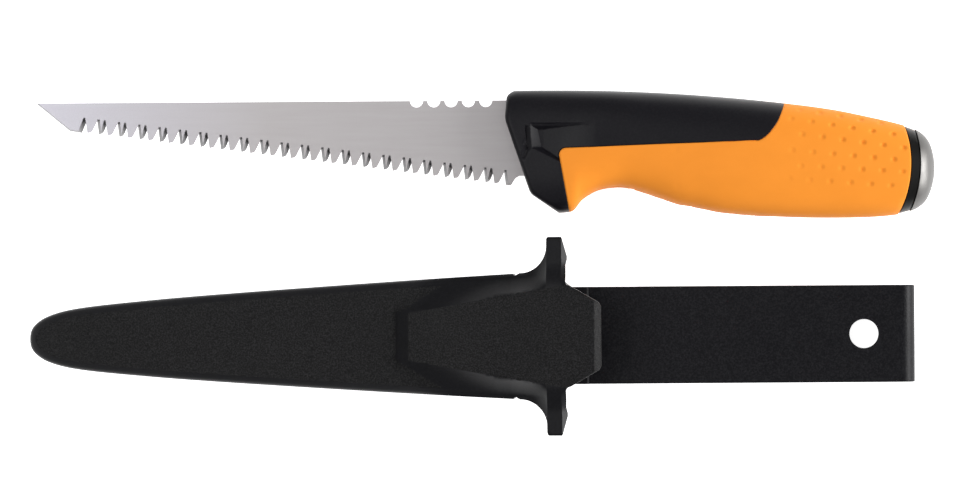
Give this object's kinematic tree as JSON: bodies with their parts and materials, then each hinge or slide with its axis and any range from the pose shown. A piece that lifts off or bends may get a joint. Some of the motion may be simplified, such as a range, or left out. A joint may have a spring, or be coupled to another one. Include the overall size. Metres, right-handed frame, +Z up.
{
  "type": "drywall saw",
  "caption": "Jab saw with a tapered toothed blade and a two-part grip, beside its moulded belt sheath with guard, tongue catch and hanging strap.",
  "frame": {"origin": "on the surface the pair lies on, under the middle of its bounding box", "axes": "+X from the blade's tip towards the strike cap, +Y from the sheath towards the saw, +Z up off the surface"},
  "size_m": [0.2932, 0.1114, 0.0337],
  "materials": {
    "blade_steel": "fine ground satin steel",
    "core_nylon": "black moulded nylon, satin",
    "rivet_steel": "plain zinc-plated steel",
    "orange_grip": "orange elastomer, matt, with dimples",
    "collar_black": "black moulded ring",
    "cap_steel": "satin blasted steel",
    "sheath_black": "black polypropylene with spark-eroded grain",
    "strap_black": "black polypropylene strap, fine grain"
  },
  "bodies": {
    "saw": {"saw_blade": "blade_steel", "handle_core_left": "core_nylon", "handle_core_right": "core_nylon", "core_rivets": "rivet_steel", "soft_grip": "orange_grip", "cap_collar": "collar_black", "strike_cap": "cap_steel", "cap_pin": "rivet_steel"},
    "sheath": {"sheath_front_shell": "sheath_black", "sheath_back_shell": "sheath_black", "belt_hanger": "strap_black", "hanger_rivets": "rivet_steel"},
    "belt_clip": {"belt_clip_leg": "strap_black"}
  },
  "joints": [
    {"name": "sheath_draw", "type": "slide", "parent": "saw", "child": "sheath", "axis": [-1, 0, 0], "range_m": [0, 0.163]},
    {"name": "belt_clip_flex", "type": "hinge", "parent": "sheath", "child": "belt_clip", "pos_m": [0.1358, -0.0237, 0.0046], "axis": [0, -1, 0], "range_deg": [0, 4], "stiffness_Nm_per_rad": 1.4}
  ]
}
